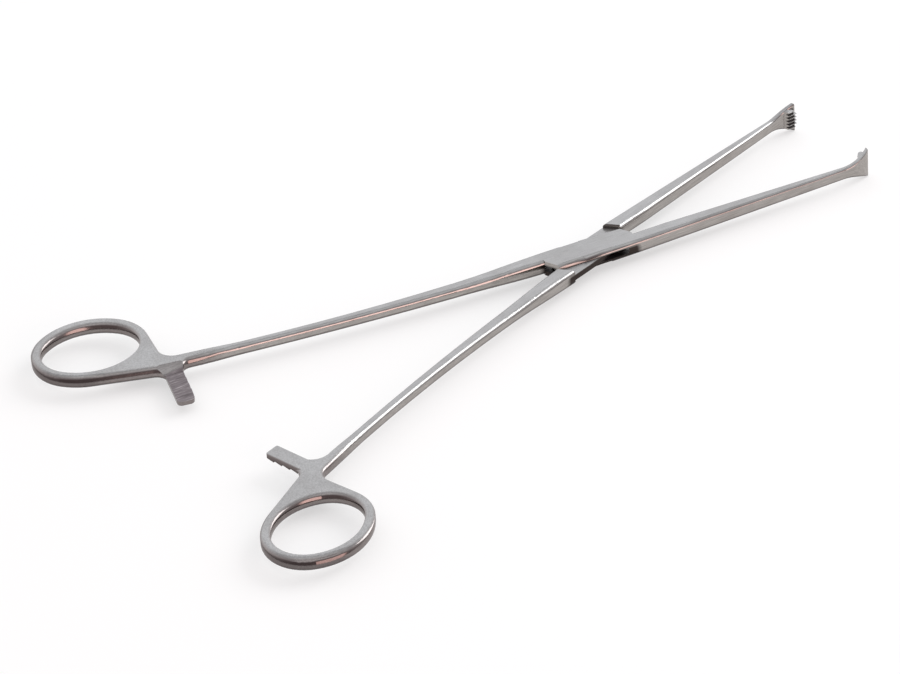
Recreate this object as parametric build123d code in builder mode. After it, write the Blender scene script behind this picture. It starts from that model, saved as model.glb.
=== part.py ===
from build123d import *
from math import acos, atan2, cos, degrees, pi, radians, sin, sqrt, tan
import os

# Allis tissue forceps of the long pattern: 7 against 8 teeth, box lock, ratchet and two finger rings.
# Origin: on the underside of the box lock, on the pivot axis. +X points to the jaws, +Z up.
# Each arm is drawn closed with its handle at +Y, then mirrored if need be and turned half open.
# "back" is a distance from the pivot towards the ring, "out" one from the centre line towards +Y.

# Pose
half_opening = 9.66

# Thickness of the arms
lock_thickness = 4.8
shank_thickness = 3.6
ring_thickness = 4.3
thinning_bend_back = 27.0
thinned_back = 42.0
edge_round = 1.2

# Finger ring, an oval of four arcs drawn out into a neck
ring_back = 143.8
ring_out = 31.5
ring_half_length = 17.1
ring_half_width = 14.35
ring_bar = 2.8
ring_turn = 4.8
ring_inner_round = 1.1
neck_apex_ahead = 15.2
neck_apex_out = 11.3
neck_outer_blend = 4.5
neck_inner_blend = 3.5

# Places along the handle, measured ahead of the finger ring
swell_start_ahead = 40.0
swell_bend_ahead = 32.0
swell_end_ahead = 24.0
shank_end_ahead = 12.8

# Shank from the lock to the neck, slimmest half way
lock_half_length = 14.25
shank_root_out = 5.25
shank_bow = 11.23
shank_root_width = 5.15
shank_middle_width = 3.1
shank_end_width = 3.3
closing_gap = 0.1

# Ratchet bars, each leaning back a little from square to its arm
bar_root_out = 13.6
bar_stub_out = 6.0
bar_stub_round = 1.5
bar_crisp_out = 11.6
bar_edge_round = 0.35
box_bar_ahead = 14.4
box_bar_lean = 10.3
box_bar_width = 5.2
box_bar_reach = 3.8
box_bar_root_blend = 3.0
box_bar_tip_round = 1.5
through_bar_ahead = 16.05
through_bar_lean = 3.0
through_bar_width = 4.7
through_bar_reach = 2.0
through_bar_root_blend = 5.0
through_bar_tip_round = 0.6

# Ratchet teeth
ratchet_teeth = 4
ratchet_pitch = 2.93
ratchet_tooth_height = 0.62
ratchet_first_out = 0.78
ratchet_clearance = 0.03
step_top_out = 12.2
step_foot_out = 10.0
step_side_room = 2.5

# Box lock
lock_slim_side = 4.3
shoulder_slant = 30.0
mortise_slant = 35.0
mortise_height = 2.0
web_clearance = 0.05
shoulder_clearance = 0.2
pin_radius = 1.7
pin_head_radius = 2.2
pin_head_depth = 0.5
pin_clearance = 0.04
pin_press = 0.005

# Jaws
jaw_length = 93.2
jaw_root_out = 4.85
jaw_end_out = 3.8
jaw_relief_start = 25.0
jaw_relief = 2.33
jaw_thickness = 3.6
jaw_round = 0.7
fan_length = 9.0
fan_hook = 1.87
fan_hook_power = 3
fan_height = 9.4
fan_flare_power = 1.75
fan_round = 0.45
fan_section_count = 5

# Jaw teeth
tooth_pitch = 1.12
tooth_root_out = -0.6
tooth_crest_out = 0.36
tooth_crest = 0.1
tooth_length = 3.7
tooth_ramp = 1.2
tooth_rake = 12.0
tooth_bed = 0.8
tooth_margin = 0.3
tooth_corner_round = 1.8
box_teeth = 7
through_teeth = 8

# Sizes that follow from the ones above
mid_height = lock_thickness / 2
web_thickness = mortise_height - 2 * web_clearance
cut_reach = lock_thickness + ring_thickness
fan_start = jaw_length - fan_length
half_turn = degrees(pi)
shank_end_back = ring_back - shank_end_ahead
arm_reach = ring_back + 2 * ring_half_length
ring_diagonal = sqrt(ring_half_length**2 + ring_half_width**2)
ring_chord = (ring_diagonal - ring_half_length + ring_half_width) / 2
ring_end_radius = ring_chord * ring_diagonal / ring_half_length
ring_side_radius = (ring_diagonal - ring_chord) * ring_diagonal / ring_half_width
ring_end_centre = ring_half_length - ring_end_radius
ring_side_centre = ring_side_radius - ring_half_width
ring_join = degrees(atan2(ring_half_length, ring_half_width))


def shank_outer(back):
    """Distance of the shank's outer edge from the centre line."""
    share = (back - lock_half_length) / (shank_end_back - lock_half_length)
    return shank_root_out + shank_bow * share**2


def shank_inner(back):
    """Distance of the shank's inner edge from the centre line."""
    share = (back - lock_half_length) / (shank_end_back - lock_half_length)
    waist = (shank_root_width + shank_end_width) / 2 - shank_middle_width
    plain = shank_root_width + (shank_end_width - shank_root_width) * share
    return shank_outer(back) - plain + 4 * waist * share * (1 - share)


def jaw_outer(forward):
    """Place of the jaw's outer edge, on the far side of the centre line from the handle."""
    share = (forward - lock_half_length) / (jaw_length - lock_half_length)
    return -jaw_root_out + (jaw_root_out - jaw_end_out) * share + hook(forward)


def jaw_inner(forward):
    """Place of the jaw's inner edge, relieved between the lock and the teeth."""
    share = max(0.0, (forward - jaw_relief_start) / (jaw_length - jaw_relief_start))
    return -closing_gap - (jaw_relief - closing_gap) * share + hook(forward)


def fan_share(forward):
    """0 up to the start of the fan, 1 at the tip."""
    return max(0.0, (forward - fan_start) / (jaw_length - fan_start))


def hook(forward):
    """How far the fan curls in towards the other jaw."""
    return fan_hook * fan_share(forward) ** fan_hook_power


def jaw_height(forward):
    """Height of the jaw, thinning from the lock and spreading into the fan."""
    share = min(1.0, (forward - lock_half_length) / (fan_start - lock_half_length))
    shaft = lock_thickness + (jaw_thickness - lock_thickness) * share
    return shaft + (fan_height - jaw_thickness) * fan_share(forward) ** fan_flare_power


def jaw_corner(forward):
    """Corner radius of the jaw's section."""
    share = min(1.0, (forward - lock_half_length) / (fan_start - lock_half_length))
    shaft = edge_round + (jaw_round - edge_round) * share
    return shaft + (fan_round - jaw_round) * fan_share(forward)


def at(back, out):
    """Point in the plan of an arm."""
    return (-back, out)


def stations(start, end, count):
    """Evenly spaced stations from start to end."""
    return [start + (end - start) * step / (count - 1) for step in range(count)]


def level(lift=0.0):
    """Horizontal plane at a height above the middle of the thickness."""
    return Plane.XY.offset(mid_height + lift)


def across(forward):
    """Upright plane across the arm, its x pointing out and its y up from the middle."""
    return Plane(origin=(forward, 0, mid_height), x_dir=(0, 1, 0), z_dir=(1, 0, 0))


def ring_level(lift=0.0):
    """Horizontal plane turned with the finger ring, from the ring's middle."""
    turn = radians(ring_turn)
    return Plane(origin=(-ring_back, ring_out, mid_height + lift), x_dir=(cos(turn), -sin(turn), 0))


def bar_level(bar_back, lean, lift=0.0):
    """Horizontal plane turned with a ratchet bar, its y running up the bar from the centre line."""
    turn = radians(lean)
    return Plane(origin=(-bar_back, 0, mid_height + lift), x_dir=(cos(turn), -sin(turn), 0))


def upright_edge(solid, place):
    """The upright edge nearest to a place in the plan."""
    target = Vector(*place)
    edges = solid.edges().filter_by(Axis.Z)
    return edges.sort_by(lambda edge: (Vector(edge.center().X, edge.center().Y) - target).length)[0]


def rims(faces):
    """Top and bottom edges of upright walls."""
    walls = faces.filter_by(lambda face: abs(face.normal_at().Z) < 0.1)
    return ShapeList(edge for wall in walls for edge in wall.edges() if abs((edge % 0.5).Z) < 0.5)


def sweep_between(start, bend_back, end):
    """Two tangent arcs that leave start and reach end level, with their bend part of the way."""
    share = (bend_back + start[0]) / (start[0] - end[0])
    bend = (-bend_back, start[1] + (end[1] - start[1]) * share)
    first = TangentArc(start, bend, tangent=(-1, 0))
    TangentArc(bend, end, tangent=first % 1)


def side_profile():
    """Side outline of a handle: thick at the lock, thin in the shank, thicker in the ring."""
    swell_start, swell_bend, swell_end = [
        ring_back - ahead for ahead in (swell_start_ahead, swell_bend_ahead, swell_end_ahead)
    ]
    with BuildSketch(Plane.XZ) as profile:
        with BuildLine():
            for side in (1, -1):
                lock, shank, ring = [
                    mid_height + side * thickness / 2
                    for thickness in (lock_thickness, shank_thickness, ring_thickness)
                ]
                Line((0, lock), (-lock_half_length, lock))
                sweep_between((-lock_half_length, lock), thinning_bend_back, (-thinned_back, shank))
                Line((-thinned_back, shank), (-swell_start, shank))
                sweep_between((-swell_start, shank), swell_bend, (-swell_end, ring))
                Line((-swell_end, ring), (-arm_reach, ring))
            Line((0, 0), (0, lock_thickness))
            Line(
                (-arm_reach, mid_height - ring_thickness / 2),
                (-arm_reach, mid_height + ring_thickness / 2),
            )
        make_face()
    return profile.sketch


def oval(inset, first, last):
    """The finger ring's outline, let in by an inset, between two angles on its first and last arc."""
    end = ring_end_radius - inset
    side = ring_side_radius - inset
    CenterArc((ring_end_centre, 0), end, first, ring_join - first)
    CenterArc((0, -ring_side_centre), side, ring_join, half_turn - 2 * ring_join)
    CenterArc((-ring_end_centre, 0), end, half_turn - ring_join, 2 * ring_join)
    CenterArc((0, ring_side_centre), side, half_turn + ring_join, last - half_turn - ring_join)


def tangent_angle(apex, centre, radius, side):
    """Angle on a circle where the line from an apex touches it, on one side (1 or -1)."""
    away = apex - centre
    return degrees(atan2(away.Y, away.X)) + side * degrees(acos(radius / away.length))


def ring_and_neck():
    """Plan of the finger ring without its hole, drawn out into a neck."""
    apex = Vector(neck_apex_ahead, neck_apex_out - ring_out).rotate(Axis.Z, ring_turn)
    end_centre = Vector(ring_end_centre, 0)
    side_centre = Vector(0, ring_side_centre)
    first = tangent_angle(apex, end_centre, ring_end_radius, 1)
    last = tangent_angle(apex, side_centre, ring_side_radius, -1)
    start = end_centre + Vector(ring_end_radius, 0).rotate(Axis.Z, first)
    finish = side_centre + Vector(ring_side_radius, 0).rotate(Axis.Z, last)
    with BuildSketch() as plan:
        with BuildLine():
            oval(0, first, last + 2 * half_turn)
            Polyline(finish, apex, start)
        make_face()
    return plan.sketch


def plain_bar(bar_back, lean, width, reach, tip_round):
    """Crisp plain ratchet bar, up to where it grows out of the shank."""
    with BuildPart() as bar:
        with BuildSketch(bar_level(bar_back, lean)):
            with Locations((0, (bar_crisp_out - reach) / 2)):
                Rectangle(width, bar_crisp_out + reach)
        extrude(amount=ring_thickness / 2, both=True)
        fillet(bar.edges().filter_by(Axis.Z).sort_by(Axis.Y)[:2], tip_round)
        fillet(rims(bar.faces()), bar_edge_round)
    return bar.part


def handle(bar_back, lean, width, root_blend):
    """Shank, finger ring and the root of the ratchet bar of one arm, with rounded edges."""
    profile = side_profile()
    plan = ring_and_neck()
    turn = radians(lean)
    root = Vector(-bar_back, 0) + Vector(sin(turn), cos(turn)) * neck_apex_out
    half = Vector(cos(turn), -sin(turn)) * width / 2
    with BuildPart() as blank:
        with BuildSketch(level(-lock_thickness / 2)):
            with BuildLine():
                ends = [at(back, shank_outer(back)) for back in (lock_half_length, shank_end_back)]
                outer = TangentArc(*ends, tangent=(-1, 0))
                places = stations(lock_half_length, shank_end_back, 3)
                inner = ThreePointArc(*[at(back, shank_inner(back)) for back in places])
                Line(outer @ 0, inner @ 0)
                Line(outer @ 1, inner @ 1)
            make_face()
        extrude(amount=lock_thickness)
        extrude(ring_level(-lock_thickness / 2) * plan, amount=lock_thickness)
        with BuildSketch(bar_level(bar_back, lean, -lock_thickness / 2)) as stub:
            with Locations((0, (bar_root_out + bar_stub_out) / 2)):
                Rectangle(width, bar_root_out - bar_stub_out)
            fillet(stub.vertices().sort_by(Axis.Y)[:2], bar_stub_round)
        extrude(amount=lock_thickness)
        neck_back = ring_back - neck_apex_ahead
        fillet(upright_edge(blank, at(neck_back, shank_outer(neck_back))), neck_outer_blend)
        fillet(upright_edge(blank, root - half), neck_inner_blend)
        fillet(upright_edge(blank, root + half), root_blend)
        extrude(profile, amount=arm_reach, both=True, mode=Mode.INTERSECT)
        walls = blank.faces().filter_by(lambda face: face.center().X < -lock_half_length - closing_gap)
        fillet(rims(walls), edge_round)
        with BuildSketch(ring_level()):
            with BuildLine():
                oval(ring_bar, -ring_join, 2 * half_turn - ring_join)
            make_face()
        extrude(amount=cut_reach, both=True, mode=Mode.SUBTRACT)
        hole = ShapeList(edge for edge in blank.edges(Select.LAST) if abs((edge % 0.5).Z) < 0.5)
        fillet(hole, ring_inner_round)
    return blank.part


def lock_block(end_back, slant):
    """Block of one arm's lock, slanted back on the side of each limb of the other arm."""
    corner_back = end_back - lock_slim_side * tan(radians(slant))
    shank_side = at(lock_half_length, shank_outer(lock_half_length))
    jaw_side = at(-lock_half_length, -jaw_root_out)
    with BuildPart() as block:
        with BuildSketch(level()):
            with BuildLine():
                far = TangentArc(shank_side, at(-corner_back, lock_slim_side), tangent=(1, 0))
                near = TangentArc(jaw_side, at(corner_back, -lock_slim_side), tangent=(-1, 0))
                Polyline(far @ 1, at(-end_back, 0), at(-lock_half_length, -closing_gap), near @ 0)
                Polyline(near @ 1, at(end_back, 0), at(lock_half_length, closing_gap), far @ 0)
            make_face()
        extrude(amount=lock_thickness / 2, both=True)
        flanks = block.faces().filter_by(lambda face: abs(face.center().Y) > lock_slim_side * 0.9)
        fillet(rims(flanks), edge_round)
    return block.part


def lock_pocket(end_back, slant):
    """Plan of a slot across the lock: open beside each limb, slanted back on the other side."""
    reach = 2 * shank_root_out
    back = end_back - reach * tan(radians(slant))
    with BuildSketch() as pocket:
        with BuildLine():
            Polyline(
                at(end_back, -reach),
                at(end_back, 0),
                at(back, reach),
                at(-end_back, reach),
                at(-end_back, 0),
                at(-back, -reach),
                close=True,
            )
        make_face()
    return pocket.sketch


def jaw_stretch(places, straight):
    """Stretch of a jaw lofted through sections at places along it."""
    with BuildPart() as stretch:
        for forward in places:
            inner = jaw_inner(forward)
            outer = jaw_outer(forward)
            with BuildSketch(across(forward)):
                with Locations(((inner + outer) / 2, 0)):
                    RectangleRounded(inner - outer, jaw_height(forward), jaw_corner(forward))
        loft(ruled=straight)
    return stretch.part


def tooth_comb(count):
    """Row of raked ridges across the fan, running along the jaw, with ramped starts."""
    half = count * tooth_pitch / 2
    rake = radians(tooth_rake)
    tip = Plane(
        origin=(jaw_length, 0, mid_height),
        x_dir=(-sin(rake), cos(rake), 0),
        z_dir=(cos(rake), sin(rake), 0),
    )
    start = jaw_length - tooth_length
    bed_tip = tooth_root_out - tooth_bed
    bed_start = bed_tip - fan_hook + hook(start)
    outline = [(bed_start, -half)]
    for ridge in range(count):
        height = (ridge + 1 / 2) * tooth_pitch - half
        outline.append((tooth_root_out, height - tooth_pitch / 2))
        outline.append((tooth_crest_out, height - tooth_crest / 2))
        outline.append((tooth_crest_out, height + tooth_crest / 2))
    outline += [(tooth_root_out, half), (bed_start, half)]
    with BuildPart() as comb:
        with BuildSketch(tip):
            with BuildLine():
                Polyline(*outline, close=True)
            make_face()
        extrude(amount=2 * tooth_length, both=True)
        with BuildSketch(level()):
            with BuildLine():
                Polyline(
                    (jaw_length, bed_tip),
                    (jaw_length, fan_hook),
                    (start + tooth_ramp, fan_hook),
                    (start + tooth_ramp, tooth_crest_out),
                    (start, bed_start),
                    close=True,
                )
            make_face()
        extrude(amount=fan_height, both=True, mode=Mode.INTERSECT)
        with BuildSketch(Plane.XZ) as side:
            with BuildLine():
                low, high = [jaw_height(forward) / 2 - tooth_margin for forward in (start, jaw_length)]
                Polyline(
                    (start, mid_height - low),
                    (jaw_length, mid_height - high),
                    (jaw_length, mid_height + high),
                    (start, mid_height + low),
                    close=True,
                )
            make_face()
            fillet(side.vertices().sort_by(Axis.X)[-2:], tooth_corner_round)
        extrude(amount=fan_height, both=True, mode=Mode.INTERSECT)
    return comb.part


def ratchet_cut(side, bar_back, lean, width):
    """What is taken off a ratchet bar: its upper (1) or lower (-1) half, down to the teeth."""
    crest = -side * ratchet_clearance
    root = crest - side * ratchet_tooth_height
    top = side * ring_thickness
    last = ratchet_first_out + (ratchet_teeth - 1) * ratchet_pitch
    outline = [(step_top_out, top), (step_top_out, side * ring_thickness / 2)]
    outline += [(step_foot_out, root), (last, root)]
    for tooth in range(ratchet_teeth):
        out = last - tooth * ratchet_pitch
        outline.append((out, crest))
        outline.append((out - ratchet_pitch, root))
    outline += [(-3 * box_bar_reach, root), (-3 * box_bar_reach, top)]
    turn = radians(lean)
    along = Plane(
        origin=(-bar_back, 0, mid_height),
        x_dir=(sin(turn), cos(turn), 0),
        z_dir=(cos(turn), -sin(turn), 0),
    )
    with BuildPart() as cut:
        with BuildSketch(along):
            with BuildLine():
                Polyline(*outline, close=True)
            make_face()
        extrude(amount=width / 2 + step_side_room, both=True)
    return cut.part


def rivet(slack):
    """Pin with a flush countersunk head at each end, its radius let out by a slack."""
    radius = pin_radius + slack
    head = pin_head_radius + slack
    with BuildPart() as pin:
        with BuildSketch(Plane.XZ):
            with BuildLine():
                Polyline(
                    (0, 0),
                    (head, 0),
                    (radius, pin_head_depth),
                    (radius, lock_thickness - pin_head_depth),
                    (head, lock_thickness),
                    (0, lock_thickness),
                    close=True,
                )
            make_face()
        revolve(axis=Axis.Z)
    return pin.part


# Both jaws without teeth
jaw_shaft = jaw_stretch([lock_half_length, jaw_relief_start, fan_start], True)
jaw_fan = jaw_stretch(stations(fan_start, jaw_length, fan_section_count), False)

# Box arm, closed: its lock is slotted right through for the web of the other arm
box_bar = (ring_back - box_bar_ahead, box_bar_lean, box_bar_width)
box_handle = handle(*box_bar, box_bar_root_blend)
box_block = lock_block(lock_half_length, shoulder_slant)
mortise = lock_pocket(lock_half_length, mortise_slant)
with BuildPart() as box_closed:
    add(box_handle)
    add(plain_bar(*box_bar, box_bar_reach, box_bar_tip_round))
    add(box_block)
    add(jaw_shaft)
    add(jaw_fan)
    add(tooth_comb(box_teeth))
    extrude(level(-mortise_height / 2) * mortise, amount=mortise_height, mode=Mode.SUBTRACT)
    add(rivet(-pin_press), mode=Mode.SUBTRACT)
    add(ratchet_cut(1, *box_bar), mode=Mode.SUBTRACT)

# Through arm, closed: its lock is thinned to a web between two shoulders
through_bar = (ring_back - through_bar_ahead, through_bar_lean, through_bar_width)
through_handle = handle(*through_bar, through_bar_root_blend)
web_end = lock_half_length - shoulder_clearance / cos(radians(mortise_slant))
shoulder_end = lock_half_length + shoulder_clearance / cos(radians(shoulder_slant))
through_block = lock_block(web_end, mortise_slant)
shoulders = lock_pocket(shoulder_end, shoulder_slant)
with BuildPart() as through_closed:
    add(through_handle)
    add(plain_bar(*through_bar, through_bar_reach, through_bar_tip_round))
    add(through_block)
    add(jaw_shaft)
    add(jaw_fan)
    add(tooth_comb(through_teeth))
    extrude(level(web_thickness / 2) * shoulders, amount=cut_reach, mode=Mode.SUBTRACT)
    extrude(level(-web_thickness / 2) * shoulders, amount=-cut_reach, mode=Mode.SUBTRACT)
    with BuildSketch(level()):
        Circle(pin_radius + pin_clearance)
    extrude(amount=web_thickness, both=True, mode=Mode.SUBTRACT)
    add(ratchet_cut(-1, *through_bar), mode=Mode.SUBTRACT)

# Both arms at rest, half open
with BuildPart() as box_arm:
    add(box_closed.part, rotation=(0, 0, -half_opening))
box_arm.part.label = "box_arm"

with BuildPart() as through_arm:
    add(mirror(through_closed.part, about=Plane.XZ, mode=Mode.PRIVATE), rotation=(0, 0, half_opening))
through_arm.part.label = "through_arm"

with BuildPart() as pivot_pin:
    add(rivet(0))
pivot_pin.part.label = "pivot_pin"

os.makedirs("parts", exist_ok=True)
export_step(box_arm.part, "parts/box_arm.step")
export_step(through_arm.part, "parts/through_arm.step")
export_step(pivot_pin.part, "parts/pivot_pin.step")
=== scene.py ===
from math import cos, radians, sin
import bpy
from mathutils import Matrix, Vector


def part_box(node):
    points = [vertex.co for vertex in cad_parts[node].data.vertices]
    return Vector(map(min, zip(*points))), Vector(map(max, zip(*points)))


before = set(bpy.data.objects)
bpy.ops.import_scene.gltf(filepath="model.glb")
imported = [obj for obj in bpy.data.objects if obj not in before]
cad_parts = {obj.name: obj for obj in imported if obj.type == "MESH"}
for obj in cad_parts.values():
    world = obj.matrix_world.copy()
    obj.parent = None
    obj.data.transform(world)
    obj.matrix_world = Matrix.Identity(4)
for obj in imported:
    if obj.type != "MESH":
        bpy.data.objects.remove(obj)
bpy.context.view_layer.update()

from types import SimpleNamespace

import bpy
from mathutils import Matrix, Vector

bl_info = {
    "name": "Tissue Forceps",
    "version": (1, 0, 0),
    "blender": (4, 5, 0),
    "location": "View3D > Sidebar > Forceps",
    "description": "Finishes a pair of long tissue forceps in satin steel and sets up its studio",
    "category": "Object",
}

TABLE_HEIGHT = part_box("box_arm")[0].z

# How far each arm is turned from its closed place.
HALF_OPENING = radians(9.66)

# Places on a closed arm, in metres from the pivot: X towards the jaws, Y towards its own finger
# ring and Z up from the underside of the lock. The ring's half sizes are to the middle of its bar.
MID_HEIGHT = 0.0024
RING_CENTRE = (-0.1438, 0.0315)
RING_HALF_SIZES = (0.0157, 0.01295)

# Where one finish gives way to the next: along X, along Y for the bar's root, and up for the lock.
FAN_START = (0.076, 0.084)
LOCK_REACH = (0.0145, 0.0160)
NECK = (-0.122, -0.108)
NECK_BACK = (-0.143, -0.151)
BAR_FRONT = (-0.1228, -0.1236)
BAR_ROOT = (0.0108, 0.0102)
TOP_PLATE = (0.0030, 0.0040)

# How far the surface is turned, as the Z of its normal.
FLATS = (0.93, 0.995)
SIDES = (0.5, 0.8)
TOOTHED_FACE = (0.2, 0.5)

# How the marks are drawn out lengthwise, and how the milling marks lean.
BRUSH_STRETCH = 0.04
MILL_STRETCH = 0.1
MILL_LEAN = 0.25

# How far painted shade darkens the steel's tone on the outer half of the finger rings, following their
# roundness.
RING_SHADE = 0.14

# Tones of the steel with painted shade, darkest on faces that look down and, on the rings, darker on the
# sides, from faces that look down (0) to faces that look up (1).
SHAFT_TONES_WITH_PAINTED_SHADE = (
    (0.0, (0.1, 0.09, 0.088)),
    (0.4, (0.22, 0.2, 0.19)),
    (0.5, (0.43, 0.405, 0.385)),
    (0.98, (0.43, 0.43, 0.435)),
)
RING_TONES_WITH_PAINTED_SHADE = (
    (0.0, (0.1, 0.088, 0.086)),
    (0.42, (0.195, 0.172, 0.168)),
    (0.53, (0.31, 0.276, 0.268)),
    (0.8, (0.33, 0.312, 0.31)),
    (0.93, (0.37, 0.365, 0.368)),
    (0.99, (0.42, 0.42, 0.425)),
)

# Tones of the fine marks and of the milling marks, along their patterns.
FINE_TONES = (
    (0.36, (0.72, 0.72, 0.72)),
    (0.64, (1.0, 1.0, 1.0)),
)
MILLED_TONES = (
    (0.32, (0.12, 0.105, 0.11)),
    (0.55, (0.22, 0.195, 0.205)),
    (0.68, (0.36, 0.33, 0.34)),
)

# Tones of the studio walls, from the horizon (0) to straight above (1).
FAR_WALL = (
    (0.0, (0.42, 0.42, 0.43)),
    (0.25, (0.8, 0.8, 0.81)),
    (0.42, (0.97, 0.97, 0.98)),
    (0.7, (0.97, 0.97, 0.98)),
    (0.9, (0.6, 0.6, 0.61)),
)
NEAR_WALL = (
    (0.0, (0.17, 0.15, 0.15)),
    (0.1, (0.2, 0.165, 0.165)),
    (0.6, (0.22, 0.185, 0.19)),
    (0.85, (0.4, 0.39, 0.4)),
    (1.0, (0.57, 0.57, 0.58)),
)
WALL_BLEND = 0.75
PANEL_CORE = 0.7


class SteelSettings(bpy.types.PropertyGroup):
    """Colours, painted shade and finish of the steel."""

    haze_color: bpy.props.FloatVectorProperty(
        name="Haze colour",
        description="Tint of the haze that handling leaves on the steel",
        default=(0.88, 0.87, 0.865),
        subtype="COLOR",
        min=0.0,
        max=1.0,
    )
    haze_size: bpy.props.FloatProperty(
        name="Haze size",
        description="Size of the patches of haze",
        default=0.009,
        unit="LENGTH",
        precision=4,
    )
    # Colour of the painted shade low inside the lock.
    lock_shade_color: bpy.props.FloatVectorProperty(
        name="Painted lock shade colour",
        description="Tint of the painted shade low inside the lock",
        default=(0.12, 0.1, 0.095),
        subtype="COLOR",
        min=0.0,
        max=1.0,
    )
    satin_roughness: bpy.props.FloatProperty(
        name="Satin roughness",
        description="Roughness of the ground flats",
        default=0.34,
        subtype="FACTOR",
        min=0.1,
        max=1.0,
    )
    edge_roughness: bpy.props.FloatProperty(
        name="Edge roughness",
        description="Roughness of the polished sides and rounded edges",
        default=0.14,
        subtype="FACTOR",
        min=0.05,
        max=1.0,
    )
    mill_roughness: bpy.props.FloatProperty(
        name="Milled roughness",
        description="Roughness of the milled ratchet teeth",
        default=0.42,
        subtype="FACTOR",
        min=0.1,
        max=1.0,
    )
    mill_spacing: bpy.props.FloatProperty(
        name="Milling spacing",
        description="Spacing of the milling marks on the ratchet teeth",
        default=0.0007,
        unit="LENGTH",
        precision=5,
    )
    grain_size: bpy.props.FloatProperty(
        name="Grain size",
        description="Spacing of the satin grain",
        default=0.0004,
        unit="LENGTH",
        precision=5,
    )
    brush_spacing: bpy.props.FloatProperty(
        name="Brush spacing",
        description="Spacing of the lengthwise brush marks",
        default=0.0002,
        unit="LENGTH",
        precision=5,
    )
    mark_strength: bpy.props.FloatProperty(
        name="Mark strength",
        description="How much the fine marks tilt the surface",
        default=0.5,
        subtype="FACTOR",
        min=0.0,
        max=1.0,
    )
    mark_depth: bpy.props.FloatProperty(
        name="Mark depth",
        description="Depth of the fine marks",
        default=0.00002,
        unit="LENGTH",
        precision=6,
    )
    crown_radius: bpy.props.FloatProperty(
        name="Crown radius",
        description="Radius of the slight crown that polishing leaves on the sides",
        default=0.0035,
        unit="LENGTH",
        precision=4,
    )
    crown_reach: bpy.props.FloatProperty(
        name="Crown reach",
        description="How far the crown runs above and below its widest line",
        default=0.0037,
        unit="LENGTH",
        precision=4,
    )
    crown_drop: bpy.props.FloatProperty(
        name="Crown drop",
        description="How far the widest line of the sides lies below mid height",
        default=0.0012,
        unit="LENGTH",
        precision=4,
    )
    shaft_crown: bpy.props.FloatProperty(
        name="Crown on the shafts",
        description="Share of the crown that the flatter sides of the shanks and jaws have",
        default=0.35,
        subtype="FACTOR",
        min=0.0,
        max=1.0,
    )
    ring_fall: bpy.props.FloatProperty(
        name="Fall of the ring",
        description="How far polishing rounds the outer half of each finger ring's bar",
        default=0.0005,
        unit="LENGTH",
        precision=4,
    )


class StageSettings(bpy.types.PropertyGroup):
    """Table, light and camera."""

    floor_color: bpy.props.FloatVectorProperty(
        name="Table colour",
        description="Colour of the pale table",
        default=(0.95, 0.95, 0.95),
        subtype="COLOR",
        min=0.0,
        max=1.0,
    )
    floor_lift: bpy.props.FloatProperty(
        name="Table lift",
        description="How far the table is lifted towards white where it is seen",
        default=0.55,
        subtype="FACTOR",
        min=0.0,
        max=1.0,
    )
    floor_width: bpy.props.FloatProperty(
        name="Table width",
        description="Width of the table",
        default=12.0,
        unit="LENGTH",
    )
    lamp_width: bpy.props.FloatProperty(
        name="Soft box width",
        description="Width of the soft box at the side",
        default=1.0,
        unit="LENGTH",
    )
    lamp_distance: bpy.props.FloatProperty(
        name="Soft box distance",
        description="Distance of the soft box from the object",
        default=1.6,
        unit="LENGTH",
    )
    lamp_turn: bpy.props.FloatProperty(
        name="Soft box direction",
        description="Direction of the soft box about the vertical",
        default=radians(-6.0),
        subtype="ANGLE",
    )
    lamp_height: bpy.props.FloatProperty(
        name="Soft box height angle",
        description="Angle of the soft box above the table",
        default=radians(36.0),
        subtype="ANGLE",
    )
    lamp_power: bpy.props.FloatProperty(
        name="Soft box power",
        description="Power of the soft box",
        default=10.5,
        unit="POWER",
    )
    panel_color: bpy.props.FloatVectorProperty(
        name="Warm panel colour",
        description="Colour and brightness of the warm panel near the camera",
        default=(2.0, 1.45, 1.35),
        subtype="COLOR",
        min=0.0,
        max=10.0,
    )
    panel_turn: bpy.props.FloatProperty(
        name="Warm panel direction",
        description="Direction of the warm panel about the vertical",
        default=radians(270.0),
        subtype="ANGLE",
    )
    panel_height: bpy.props.FloatProperty(
        name="Warm panel height angle",
        description="Angle of the warm panel above the table",
        default=radians(14.0),
        subtype="ANGLE",
    )
    panel_spread: bpy.props.FloatProperty(
        name="Warm panel spread",
        description="Half the angle that the warm panel fills",
        default=radians(22.0),
        subtype="ANGLE",
    )
    wall_turn: bpy.props.FloatProperty(
        name="Far wall direction",
        description="Direction of the pale far wall about the vertical",
        default=radians(55.15),
        subtype="ANGLE",
    )
    wall_strength: bpy.props.FloatProperty(
        name="Wall strength",
        description="Brightness of the studio walls",
        default=1.4,
    )
    camera_turn: bpy.props.FloatProperty(
        name="Camera turn",
        description="Direction of the picture's right edge about the vertical",
        default=radians(-34.85),
        subtype="ANGLE",
    )
    camera_height: bpy.props.FloatProperty(
        name="Camera height angle",
        description="Angle at which the camera looks down",
        default=radians(34.6),
        subtype="ANGLE",
    )
    camera_roll: bpy.props.FloatProperty(
        name="Camera roll",
        description="Tilt of the picture",
        default=radians(4.0),
        subtype="ANGLE",
    )
    camera_distance: bpy.props.FloatProperty(
        name="Camera distance",
        description="Distance from the camera to the point that it looks at",
        default=1.3807,
        unit="LENGTH",
    )
    camera_aim: bpy.props.FloatVectorProperty(
        name="Camera aim",
        description="Point on the table that the camera looks at",
        default=(-0.0516, -0.0013, TABLE_HEIGHT),
        subtype="TRANSLATION",
    )
    camera_lens: bpy.props.FloatProperty(
        name="Lens",
        description="Focal length of the lens",
        default=194.24,
        unit="CAMERA",
    )


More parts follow.
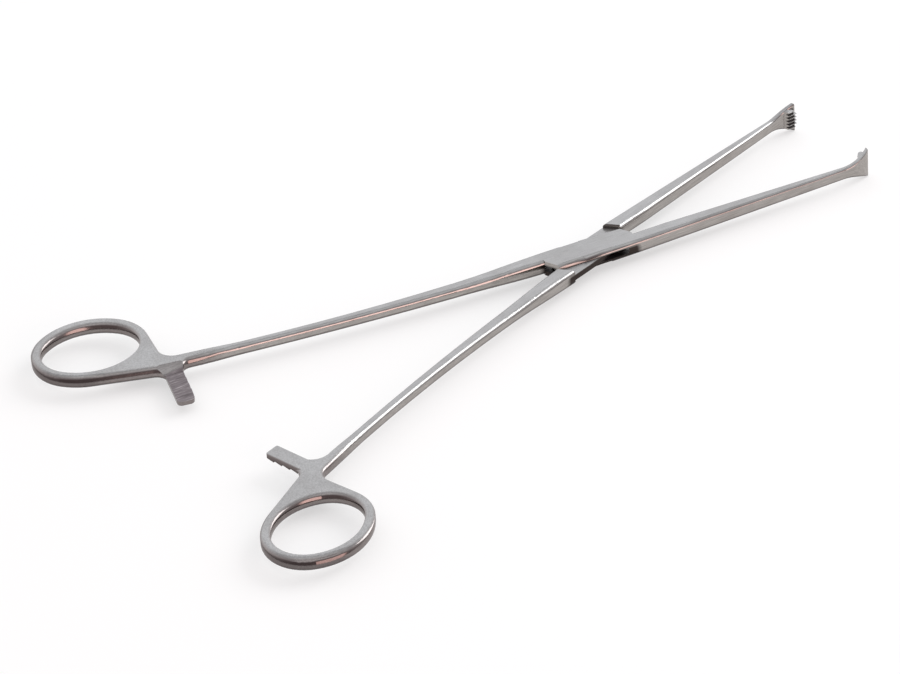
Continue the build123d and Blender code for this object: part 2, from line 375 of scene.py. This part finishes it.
def node(tree, kind, name, **settings):
    """Add a shader node and set its plain properties."""
    made = tree.nodes.new(kind)
    made.name = made.label = name
    for key, value in settings.items():
        setattr(made, key, value)
    return made


def feed(tree, source, target):
    """Link an output to an input, or set the input to a plain value."""
    if isinstance(source, bpy.types.NodeSocket):
        tree.links.new(source, target)
    else:
        target.default_value = source


def mapped(tree, place, name, kind="POINT", **parts):
    """A place that is turned, moved or scaled."""
    made = node(tree, "ShaderNodeMapping", name, vector_type=kind)
    for part, value in parts.items():
        feed(tree, value, made.inputs[part])
    feed(tree, place, made.inputs["Vector"])
    return made.outputs["Vector"]


def noise(tree, place, name, size, detail, rough):
    """A noise texture with patches of a size."""
    made = node(tree, "ShaderNodeTexNoise", name)
    for socket, value in (
        ("Vector", place),
        ("Scale", 1.0 / size),
        ("Detail", detail),
        ("Roughness", rough),
    ):
        feed(tree, value, made.inputs[socket])
    return made.outputs["Fac"]


def spread(tree, value, name, old, new=(0.0, 1.0)):
    """A value's range stretched to a new one."""
    made = node(tree, "ShaderNodeMapRange", name)
    for socket, number in zip(("Value", "From Min", "From Max", "To Min", "To Max"), (value, *old, *new)):
        feed(tree, number, made.inputs[socket])
    return made.outputs["Result"]


def calculate(tree, operation, name, *values):
    """A number worked out from others, each a socket or a plain number."""
    made = node(tree, "ShaderNodeMath", name, operation=operation)
    for value, socket in zip(values, made.inputs):
        feed(tree, value, socket)
    return made.outputs["Value"]


def product(tree, first, second, name):
    """Product of two numbers."""
    return calculate(tree, "MULTIPLY", name, first, second)


def measure(tree, operation, name, *vectors):
    """A number taken from vectors, such as a length."""
    made = node(tree, "ShaderNodeVectorMath", name, operation=operation)
    for vector, socket in zip(vectors, made.inputs):
        feed(tree, vector, socket)
    return made.outputs["Value"]


def blend_values(tree, factor, first, second, name):
    """Mix two numbers by a factor."""
    made = node(tree, "ShaderNodeMix", name, data_type="FLOAT")
    for value, index in ((factor, 0), (first, 2), (second, 3)):
        feed(tree, value, made.inputs[index])
    return made.outputs[0]


def blend_colors(tree, factor, first, second, name, mode="MIX"):
    """Mix two colours by a factor. The second is a socket or a plain colour."""
    made = node(tree, "ShaderNodeMix", name, data_type="RGBA", blend_type=mode)
    if not isinstance(second, bpy.types.NodeSocket):
        second = (*second, 1.0)
    for value, index in ((factor, 0), (first, 6), (second, 7)):
        feed(tree, value, made.inputs[index])
    return made.outputs[2]


def color_ramp(tree, value, name, stops):
    """Colours along a value that runs from 0 to 1."""
    ramp = node(tree, "ShaderNodeValToRGB", name)
    feed(tree, value, ramp.inputs["Fac"])
    bands = ramp.color_ramp.elements
    for index, (place, color) in enumerate(stops):
        band = bands[index] if index < 1 else bands.new(place)
        band.position = place
        band.color = (*color, 1.0)
    bands.remove(bands[len(stops)])
    return ramp.outputs["Color"]


def bump(tree, height, name, strength, distance, under=None):
    """Light the surface as if it had a height, over an earlier relief if there is one."""
    made = node(tree, "ShaderNodeBump", name)
    for socket, value in (("Height", height), ("Strength", strength), ("Distance", distance)):
        feed(tree, value, made.inputs[socket])
    if under is not None:
        feed(tree, under, made.inputs["Normal"])
    return made.outputs["Normal"]


def sided(side, pair):
    """A pair of values for the arm of one side, mirrored for the other."""
    return tuple(side * value for value in pair)


def steel_zones(tree, turn, side):
    """Where each finish and the painted shade in the lock lie, by the place on the closed arm and the way the
    surface faces.
    """
    place = node(tree, "ShaderNodeTexCoord", "Place on the arm")
    along = mapped(tree, place.outputs["Object"], "Along the arm", Rotation=(0.0, 0.0, turn))
    where = node(tree, "ShaderNodeSeparateXYZ", "Place in the arm's plan")
    feed(tree, along, where.inputs["Vector"])
    ahead, out, height = where.outputs

    facing = node(tree, "ShaderNodeNewGeometry", "Facing")
    split = node(tree, "ShaderNodeSeparateXYZ", "Facing up")
    feed(tree, facing.outputs["Normal"], split.inputs["Vector"])
    rise = split.outputs["Z"]
    level = calculate(tree, "ABSOLUTE", "Up or down", rise)

    # The outer half of the ring's bar, where no neck runs into it.
    centre = (RING_CENTRE[0], side * RING_CENTRE[1], 0.0)
    scale = (*RING_HALF_SIZES, 1.0)
    oval = mapped(tree, along, "Oval of the finger ring", "TEXTURE", Location=centre, Scale=scale)
    across = measure(tree, "LENGTH", "Way across the ring's bar", oval)
    outer = spread(tree, across, "Outer half of the ring's bar", (1.0, 1.1))
    clear = spread(tree, ahead, "Clear of the neck", NECK_BACK)
    outer = product(tree, outer, clear, "Free outer half of the ring's bar")
    outer = product(tree, outer, outer, "Roundness of the ring's outer half")

    flat = spread(tree, level, "Facing up or down", FLATS)
    satin = spread(tree, outer, "Satin left on the ring", (0.05, 0.6), (1.0, 0.1))
    flat = product(tree, flat, satin, "Satin flats")

    beyond = spread(tree, out, "Inside the bar's root", sided(side, BAR_ROOT))
    behind = spread(tree, ahead, "Behind the shank", BAR_FRONT)
    toothed = spread(tree, rise, "Toothed side of the bar", sided(side, TOOTHED_FACE))
    milled = product(tree, beyond, behind, "On the bar")
    milled = product(tree, milled, toothed, "Milled teeth")

    # Painted shade low in the lock: sideways faces near the pivot and under the top plate are darkened.
    distance = measure(tree, "LENGTH", "Distance from the pivot", along)
    inside = spread(tree, distance, "Within the lock", LOCK_REACH, (1.0, 0.0))
    under = spread(tree, height, "Under the top plate", TOP_PLATE, (1.0, 0.0))
    sideways = spread(tree, level, "Facing sideways", SIDES, (1.0, 0.0))
    lock_shade = product(tree, inside, under, "Low in the lock")
    lock_shade = product(tree, lock_shade, sideways, "Where painted shade falls in the lock")

    return SimpleNamespace(
        along=along, ahead=ahead, height=height, rise=rise, outer=outer, flat=flat, milled=milled, lock_shade=lock_shade
    )


def steel_marks(tree, along, props):
    """The fine marks on the steel: satin grain, brush marks, haze and milling marks."""
    drawn = mapped(tree, along, "Drawn out along the arm", Scale=(BRUSH_STRETCH, 1.0, 1.0))
    crossed = mapped(
        tree,
        along,
        "Drawn out across the bar",
        Scale=(MILL_STRETCH, 1.0, 1.0),
        Rotation=(0.0, 0.0, MILL_LEAN),
    )
    return SimpleNamespace(
        grain=noise(tree, along, "Satin grain", props.grain_size, 3.0, 0.6),
        brush=noise(tree, drawn, "Brush marks", props.brush_spacing, 4.0, 0.65),
        haze=noise(tree, along, "Handling haze", props.haze_size, 3.0, 0.55),
        cuts=noise(tree, crossed, "Milling marks", props.mill_spacing, 3.0, 0.7),
    )


def steel_gloss(tree, zones, marks, props):
    """Roughness: satin on the flats, polished on sides and edges, dull on the milled teeth."""
    rough, smooth = props.satin_roughness, props.edge_roughness
    satin = spread(tree, marks.grain, "Satin gloss", (0.3, 0.7), (rough - 0.05, rough + 0.06))
    polish = spread(tree, marks.haze, "Polish gloss", (0.3, 0.7), (smooth - 0.03, smooth + 0.05))
    gloss = blend_values(tree, zones.flat, polish, satin, "Gloss")
    return blend_values(tree, zones.milled, gloss, props.mill_roughness, "Gloss with the milled teeth")


def steel_tone_and_painted_shade(tree, zones, marks, props):
    """Colour: the steel's tone with painted shade on faces that look down and on the rings' outer halves, its
    haze and fine marks, painted shade low in the lock, the milled teeth.
    """
    # Painted shade: faces that look down get a darker tone, and on the rings the sides do too.
    rise = spread(tree, zones.rise, "Rise of the surface", (-1.0, 1.0))
    # Painted shade on the ring: its outer half is darkened as if the bar were rounder.
    rounded = calculate(tree, "MULTIPLY_ADD", "Rise with painted shade on the ring's outer half", zones.outer, -RING_SHADE, rise)
    ring = color_ramp(tree, rounded, "Ring tone with painted shade", RING_TONES_WITH_PAINTED_SHADE)
    shaft = color_ramp(tree, rise, "Shank and jaw tone with painted shade", SHAFT_TONES_WITH_PAINTED_SHADE)
    past_ring = spread(tree, zones.ahead, "Ahead of the ring", NECK)
    tone = blend_colors(tree, past_ring, ring, shaft, "Steel tone")

    hazy = spread(tree, marks.haze, "Haze", (0.3, 0.62), (1.0, 0.0))
    tone = blend_colors(tree, hazy, tone, props.haze_color, "Hazy steel", "MULTIPLY")

    brushed = spread(tree, zones.ahead, "Brushed share", NECK, (0.0, 0.6))
    fine = blend_values(tree, brushed, marks.grain, marks.brush, "Pattern of the flats")
    fine = blend_values(tree, zones.flat, marks.brush, fine, "Fine pattern")
    fine = color_ramp(tree, fine, "Fine tone", FINE_TONES)
    tone = blend_colors(tree, 1.0, tone, fine, "Finely marked steel", "MULTIPLY")

    # Painted shade darkens the steel low in the lock.
    tone = blend_colors(tree, zones.lock_shade, tone, props.lock_shade_color, "Painted shade in the lock", "MULTIPLY")
    streaks = color_ramp(tree, marks.cuts, "Milled steel", MILLED_TONES)
    return blend_colors(tree, zones.milled, tone, streaks, "Steel with the milled teeth")


def steel_relief(tree, zones, marks, props):
    """Relief: the roundness that polishing leaves on rings and sides, and the fine marks."""
    fall = product(tree, zones.outer, -props.ring_fall, "Crown of the ring")
    relief = bump(tree, fall, "Crowned ring", 1.0, 1.0)

    widest, reach = MID_HEIGHT - props.crown_drop, props.crown_reach
    rows = (widest - reach, widest + reach)
    level = spread(tree, zones.height, "Height on the side", rows, (-reach, reach))
    square = product(tree, level, level, "Squared height")
    crown = product(tree, square, -0.5 / props.crown_radius, "Crown of the side")
    shaft = spread(tree, zones.ahead, "Behind the fan", FAN_START, (1.0, 0.0))
    handle = spread(tree, zones.ahead, "Ring or shaft", NECK, (1.0, props.shaft_crown))
    share = product(tree, shaft, handle, "Share of the crown")
    relief = bump(tree, crown, "Crowned sides", share, 1.0, relief)

    fine = blend_values(tree, zones.flat, marks.brush, marks.grain, "Marks")
    fine = blend_values(tree, zones.milled, fine, marks.cuts, "Marks with the milled teeth")
    return bump(tree, fine, "Fine marks", props.mark_strength, props.mark_depth, relief)


def satin_steel(name, props, turn, side):
    """Forged stainless steel: satin ground flats, polished edges, fine lengthwise brushing."""
    material = bpy.data.materials.new(name)
    material.use_nodes = True
    tree = material.node_tree
    zones = steel_zones(tree, turn, side)
    marks = steel_marks(tree, zones.along, props)
    shader = tree.nodes["Principled BSDF"].inputs
    feed(tree, 1.0, shader["Metallic"])
    feed(tree, steel_gloss(tree, zones, marks, props), shader["Roughness"])
    feed(tree, steel_tone_and_painted_shade(tree, zones, marks, props), shader["Base Color"])
    feed(tree, steel_relief(tree, zones, marks, props), shader["Normal"])
    return material


def dress(name, material):
    """Put a finish on a CAD node."""
    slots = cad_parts[name].material_slots
    if not slots:
        raise RuntimeError(f"{name} has no material slot")
    for slot in slots:
        slot.material = material


class FORCEPS_OT_finish_arms(bpy.types.Operator):
    """Finish both forged arms in satin steel, brushed along each arm"""

    bl_idname = "forceps.finish_arms"
    bl_label = "Finish the Arms"

    def execute(self, context):
        props = context.scene.forceps_steel
        dress("box_arm", satin_steel("box_arm_steel", props, HALF_OPENING, 1.0))
        dress("through_arm", satin_steel("through_arm_steel", props, -HALF_OPENING, -1.0))
        return {"FINISHED"}


class FORCEPS_OT_finish_pin(bpy.types.Operator):
    """Finish the pivot pin, ground flush with the lock"""

    bl_idname = "forceps.finish_pin"
    bl_label = "Finish the Pivot Pin"

    def execute(self, context):
        props = context.scene.forceps_steel
        dress("pivot_pin", satin_steel("pivot_pin_steel", props, HALF_OPENING, 1.0))
        return {"FINISHED"}


def table_material(props):
    """A matt pale table, lifted a little towards white where it is seen."""
    material = bpy.data.materials.new("pale_table")
    material.use_nodes = True
    tree = material.node_tree
    shader = tree.nodes["Principled BSDF"]
    for socket, value in (
        ("Base Color", (*props.floor_color, 1.0)),
        ("Roughness", 0.9),
        ("Specular IOR Level", 0.0),
    ):
        feed(tree, value, shader.inputs[socket])
    white = node(tree, "ShaderNodeEmission", "White sheet")
    feed(tree, 1.0, white.inputs["Strength"])
    path = node(tree, "ShaderNodeLightPath", "Seen directly, in a reflection or through glass")
    seen = path.outputs["Is Camera Ray"]
    for kind in ("Is Glossy Ray", "Is Transmission Ray"):
        seen = calculate(tree, "MAXIMUM", f"Or {kind}", seen, path.outputs[kind])
    lift = spread(tree, seen, "Lift", (0.0, 1.0), (0.0, props.floor_lift))
    mix = node(tree, "ShaderNodeMixShader", "Table and white sheet")
    for value, socket in zip((lift, shader.outputs["BSDF"], white.outputs["Emission"]), mix.inputs):
        feed(tree, value, socket)
    feed(tree, mix.outputs["Shader"], tree.nodes["Material Output"].inputs["Surface"])
    return material


def direction(turn, height):
    """Unit vector at an angle about the vertical and one above the horizon."""
    return Vector((cos(height) * cos(turn), cos(height) * sin(turn), sin(height)))


def light_world(props):
    """A studio with a pale far wall, a darker near wall and a warm panel low beside the camera."""
    world = bpy.data.worlds.new("studio_walls")
    world.use_nodes = True
    bpy.context.scene.world = world
    tree = world.node_tree
    place = node(tree, "ShaderNodeTexCoord", "Direction").outputs["Generated"]
    split = node(tree, "ShaderNodeSeparateXYZ", "Height on the walls")
    feed(tree, place, split.inputs["Vector"])
    near = color_ramp(tree, split.outputs["Z"], "Near wall", NEAR_WALL)
    far = color_ramp(tree, split.outputs["Z"], "Far wall", FAR_WALL)
    toward = measure(tree, "DOT_PRODUCT", "Toward the far wall", place, direction(props.wall_turn, 0.0))
    share = spread(tree, toward, "Far or near", (-WALL_BLEND, WALL_BLEND))
    walls = blend_colors(tree, share, near, far, "Studio walls")

    centre = direction(props.panel_turn, props.panel_height)
    aim = measure(tree, "DOT_PRODUCT", "Toward the warm panel", place, centre)
    rim = (cos(props.panel_spread), cos(props.panel_spread * PANEL_CORE))
    panel = spread(tree, aim, "Warm panel", rim)
    walls = blend_colors(tree, panel, walls, props.panel_color, "Walls and warm panel")
    background = tree.nodes["Background"].inputs
    feed(tree, walls, background["Color"])
    feed(tree, props.wall_strength, background["Strength"])


class FORCEPS_OT_build_stage(bpy.types.Operator):
    """Add the pale table and the soft light"""

    bl_idname = "forceps.build_stage"
    bl_label = "Build the Stage"

    def execute(self, context):
        props = context.scene.forceps_stage
        bpy.ops.object.select_all(action="DESELECT")
        bpy.ops.mesh.primitive_plane_add(size=props.floor_width, location=(0, 0, TABLE_HEIGHT))
        table = context.object
        table.name = "table"
        table.data.materials.append(table_material(props))
        toward = direction(props.lamp_turn, props.lamp_height)
        bpy.ops.object.light_add(type="AREA", location=toward * props.lamp_distance)
        lamp = context.object
        lamp.name = "side_soft_box"
        lamp.rotation_euler = toward.to_track_quat("Z", "Y").to_euler()
        lamp.data.size = props.lamp_width
        lamp.data.energy = props.lamp_power
        lamp.visible_camera = False
        light_world(props)
        return {"FINISHED"}


class FORCEPS_OT_place_camera(bpy.types.Operator):
    """Set the camera at the angle of the photograph"""

    bl_idname = "forceps.place_camera"
    bl_label = "Place the Camera"

    def execute(self, context):
        props = context.scene.forceps_stage
        turn, height, roll = props.camera_turn, props.camera_height, props.camera_roll
        level_right = Vector((cos(turn), sin(turn), 0))
        ahead = Vector((-sin(turn), cos(turn), 0))
        level_up = ahead * sin(height) + Vector((0, 0, cos(height)))
        back = Vector((0, 0, sin(height))) - ahead * cos(height)
        right = level_right * cos(roll) - level_up * sin(roll)
        up = level_right * sin(roll) + level_up * cos(roll)
        place = Vector(props.camera_aim) + back * props.camera_distance
        bpy.ops.object.camera_add(location=place)
        camera = context.object
        camera.name = "camera"
        axes = Matrix((right, up, back)).transposed()
        camera.matrix_world = Matrix.Translation(place) @ axes.to_4x4()
        camera.data.lens = props.camera_lens
        context.scene.camera = camera
        return {"FINISHED"}


class FORCEPS_PT_sidebar(bpy.types.Panel):
    """The forceps' settings and steps"""

    bl_idname = "FORCEPS_PT_sidebar"
    bl_label = "Tissue Forceps"
    bl_space_type = "VIEW_3D"
    bl_region_type = "UI"
    bl_category = "Forceps"

    def draw(self, context):
        scene = context.scene
        for settings, steps in (
            (scene.forceps_steel, (FORCEPS_OT_finish_arms, FORCEPS_OT_finish_pin)),
            (scene.forceps_stage, (FORCEPS_OT_build_stage, FORCEPS_OT_place_camera)),
        ):
            box = self.layout.box()
            for key in settings.__annotations__:
                box.prop(settings, key)
            for step in steps:
                box.operator(step.bl_idname)


CLASSES = (
    SteelSettings,
    StageSettings,
    FORCEPS_OT_finish_arms,
    FORCEPS_OT_finish_pin,
    FORCEPS_OT_build_stage,
    FORCEPS_OT_place_camera,
    FORCEPS_PT_sidebar,
)


def register():
    """Add the classes and their settings to Blender."""
    for cls in CLASSES:
        bpy.utils.register_class(cls)
    bpy.types.Scene.forceps_steel = bpy.props.PointerProperty(type=SteelSettings)
    bpy.types.Scene.forceps_stage = bpy.props.PointerProperty(type=StageSettings)


def unregister():
    """Take the classes and their settings out of Blender."""
    del bpy.types.Scene.forceps_stage
    del bpy.types.Scene.forceps_steel
    for cls in reversed(CLASSES):
        bpy.utils.unregister_class(cls)


def main():
    """Run every step in order."""
    register()
    bpy.context.scene.view_settings.view_transform = "Standard"
    bpy.ops.forceps.finish_arms()
    bpy.ops.forceps.finish_pin()
    bpy.ops.forceps.build_stage()
    bpy.ops.forceps.place_camera()


if __name__ == "__main__":
    main()
